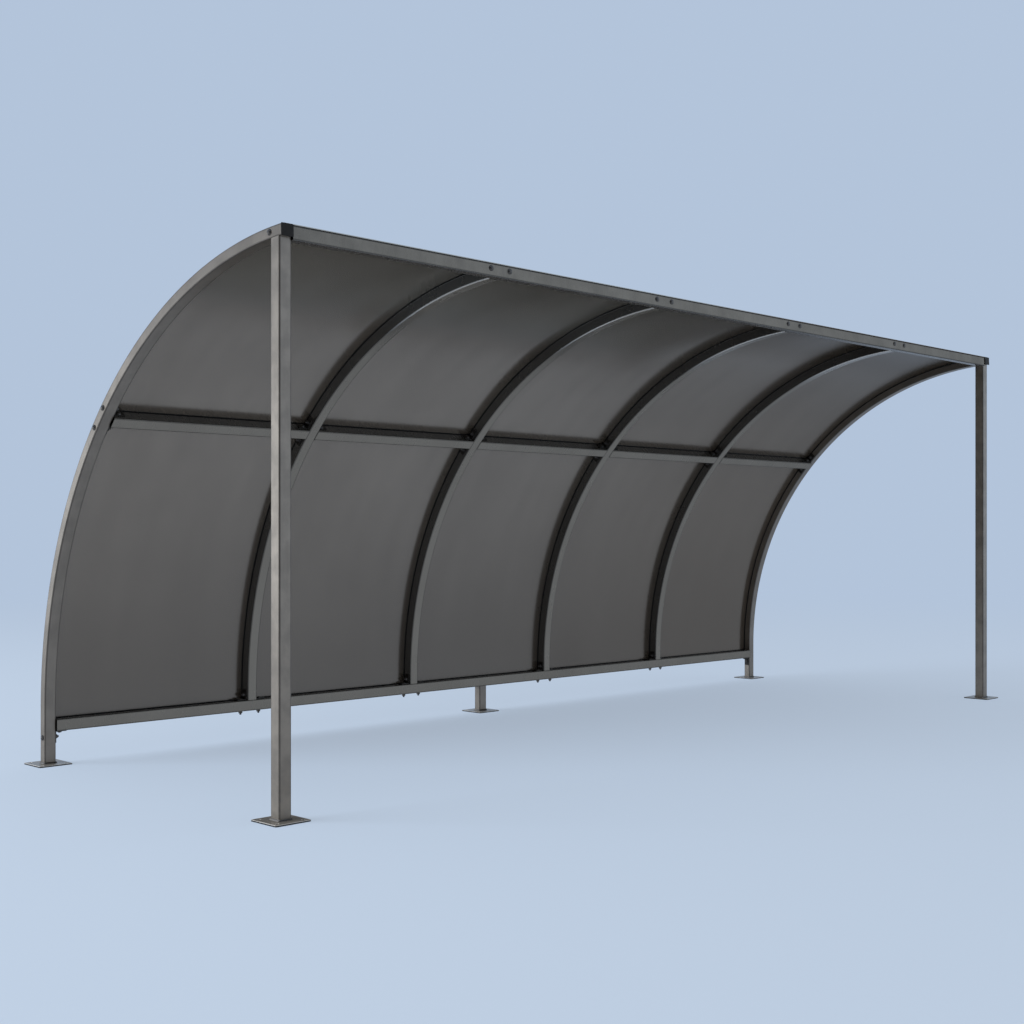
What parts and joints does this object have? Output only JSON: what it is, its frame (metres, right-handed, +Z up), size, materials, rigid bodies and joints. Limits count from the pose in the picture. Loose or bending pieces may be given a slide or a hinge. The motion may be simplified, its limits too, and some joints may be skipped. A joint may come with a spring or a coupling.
{
  "type": "bike shelter",
  "caption": "Open-fronted bike shelter: a quarter-arch roof and back of curved sheets on arched tube ribs, held in front by posts, all on bolted base plates.",
  "frame": {"origin": "on the ground under the middle of the shelter's bounding box", "axes": "+X along the shelter, +Y from the open front to the back, +Z up"},
  "size_m": [5.145, 1.795, 2.0017],
  "materials": {
    "frame_paint": "satin metallic grey powder coat",
    "plate_paint": "satin metallic grey powder coat",
    "bracket_paint": "satin grey coating on folded steel",
    "black_plastic": "moulded black plastic",
    "sheet": "dark grey opaque sheet, satin to gloss"
  },
  "bodies": {
    "root": {"front_post_left": "frame_paint", "front_post_right": "frame_paint", "end_rib_left": "frame_paint", "end_rib_right": "frame_paint", "rib_1": "frame_paint", "rib_2": "frame_paint", "rib_3": "frame_paint", "rib_4": "frame_paint", "front_rail": "frame_paint", "bottom_rail": "frame_paint", "centre_foot": "frame_paint", "mid_rail_1": "frame_paint", "mid_rail_2": "frame_paint", "mid_rail_3": "frame_paint", "mid_rail_4": "frame_paint", "mid_rail_5": "frame_paint", "front_plate_left": "plate_paint", "front_plate_right": "plate_paint", "rear_plate_left": "plate_paint", "rear_plate_right": "plate_paint", "centre_plate": "plate_paint", "front_brackets": "bracket_paint", "mid_upper_brackets": "bracket_paint", "mid_lower_brackets": "bracket_paint", "bottom_brackets": "bracket_paint", "foot_brackets": "bracket_paint", "rib_cap_left": "black_plastic", "rib_cap_right": "black_plastic", "panel_1": "sheet", "panel_2": "sheet", "panel_3": "sheet", "panel_4": "sheet", "panel_5": "sheet"}
  },
  "joints": []
}
